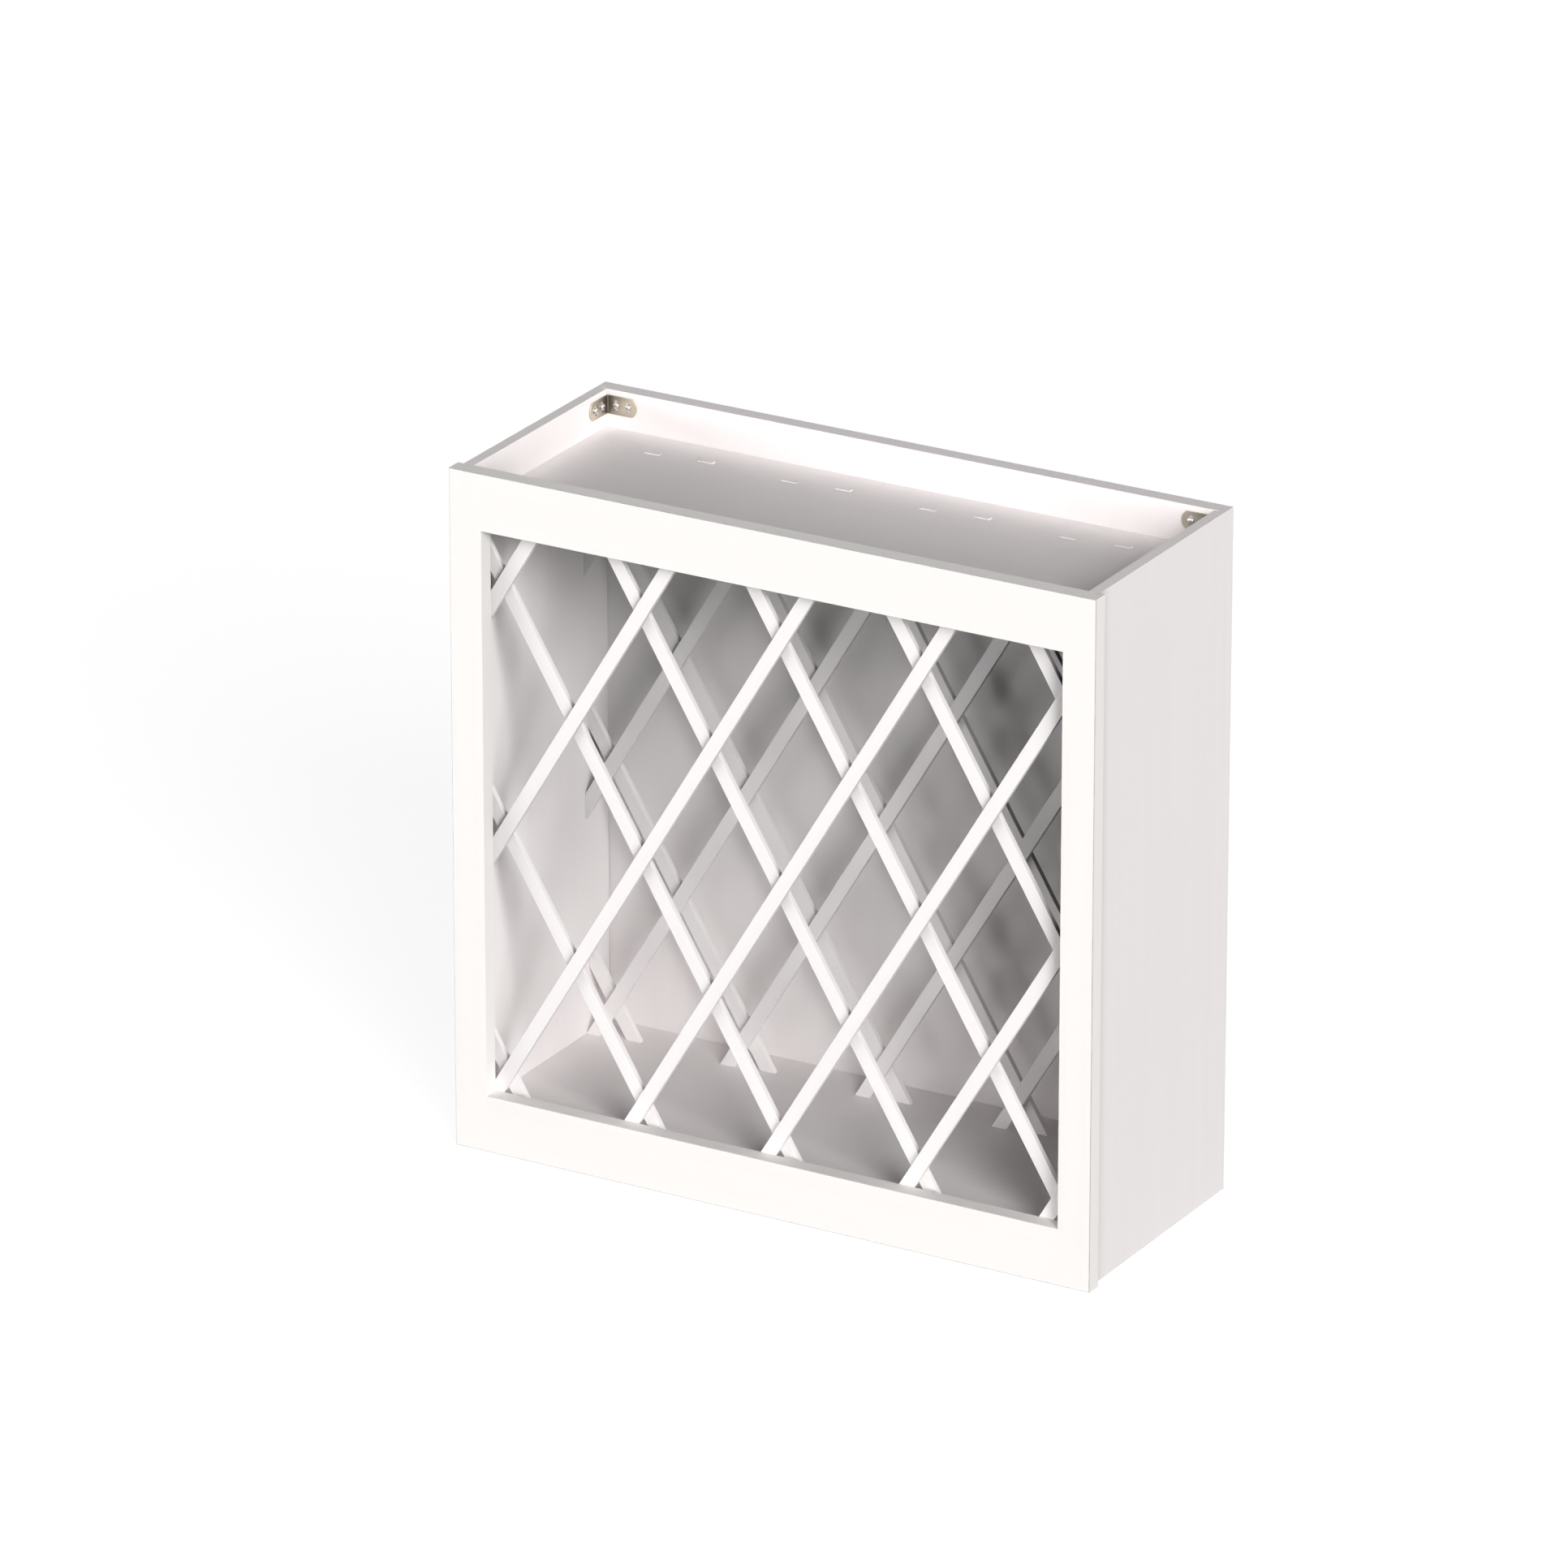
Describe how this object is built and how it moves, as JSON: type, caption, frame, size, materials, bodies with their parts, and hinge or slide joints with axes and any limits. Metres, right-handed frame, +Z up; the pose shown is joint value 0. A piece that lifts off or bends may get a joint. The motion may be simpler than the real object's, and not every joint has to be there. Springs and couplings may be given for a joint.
{
  "type": "wine rack cabinet",
  "caption": "Face-framed wall cabinet with crossed diagonal slat lattices, front and rear, whose diamond cells hold bottles lying down.",
  "frame": {"origin": "centre of the cabinet's footprint, on its underside", "axes": "+Z up, the face frame looks towards -Y, the back panel's rear face looks towards +Y"},
  "size_m": [0.762, 0.3048, 0.762],
  "materials": {
    "frame_paint": "white satin paint",
    "panel_paint": "white satin paint on plywood",
    "slat_paint": "white satin paint on thin slats",
    "biscuit_wood": "pressed beech, unpainted",
    "bracket_nickel": "warm grey nickel plate",
    "screw_zinc": "bright zinc plate"
  },
  "bodies": {
    "root": {"back_panel": "panel_paint", "bottom_rail": "frame_paint", "bracket_screw_left_1": "screw_zinc", "bracket_screw_left_2": "screw_zinc", "bracket_screw_left_3": "screw_zinc", "bracket_screw_left_4": "screw_zinc", "bracket_screw_right_1": "screw_zinc", "bracket_screw_right_2": "screw_zinc", "bracket_screw_right_3": "screw_zinc", "bracket_screw_right_4": "screw_zinc", "corner_bracket_left": "bracket_nickel", "corner_bracket_right": "bracket_nickel", "floor_panel": "panel_paint", "frame_biscuit_bottom_left": "biscuit_wood", "frame_biscuit_bottom_right": "biscuit_wood", "frame_biscuit_top_left": "biscuit_wood", "frame_biscuit_top_right": "biscuit_wood", "front_slat_falling_1": "slat_paint", "front_slat_falling_2": "slat_paint", "front_slat_falling_3": "slat_paint", "front_slat_falling_4": "slat_paint", "front_slat_falling_5": "slat_paint", "front_slat_falling_6": "slat_paint", "front_slat_falling_7": "slat_paint", "front_slat_rising_1": "slat_paint", "front_slat_rising_2": "slat_paint", "front_slat_rising_3": "slat_paint", "front_slat_rising_4": "slat_paint", "front_slat_rising_5": "slat_paint", "front_slat_rising_6": "slat_paint", "front_slat_rising_7": "slat_paint", "rear_slat_falling_1": "slat_paint", "rear_slat_falling_2": "slat_paint", "rear_slat_falling_3": "slat_paint", "rear_slat_falling_4": "slat_paint", "rear_slat_falling_5": "slat_paint", "rear_slat_falling_6": "slat_paint", "rear_slat_falling_7": "slat_paint", "rear_slat_rising_1": "slat_paint", "rear_slat_rising_2": "slat_paint", "rear_slat_rising_3": "slat_paint", "rear_slat_rising_4": "slat_paint", "rear_slat_rising_5": "slat_paint", "rear_slat_rising_6": "slat_paint", "rear_slat_rising_7": "slat_paint", "side_panel_left": "panel_paint", "side_panel_right": "panel_paint", "stile_left": "frame_paint", "stile_right": "frame_paint", "top_panel": "panel_paint", "top_rail": "frame_paint"}
  },
  "joints": []
}
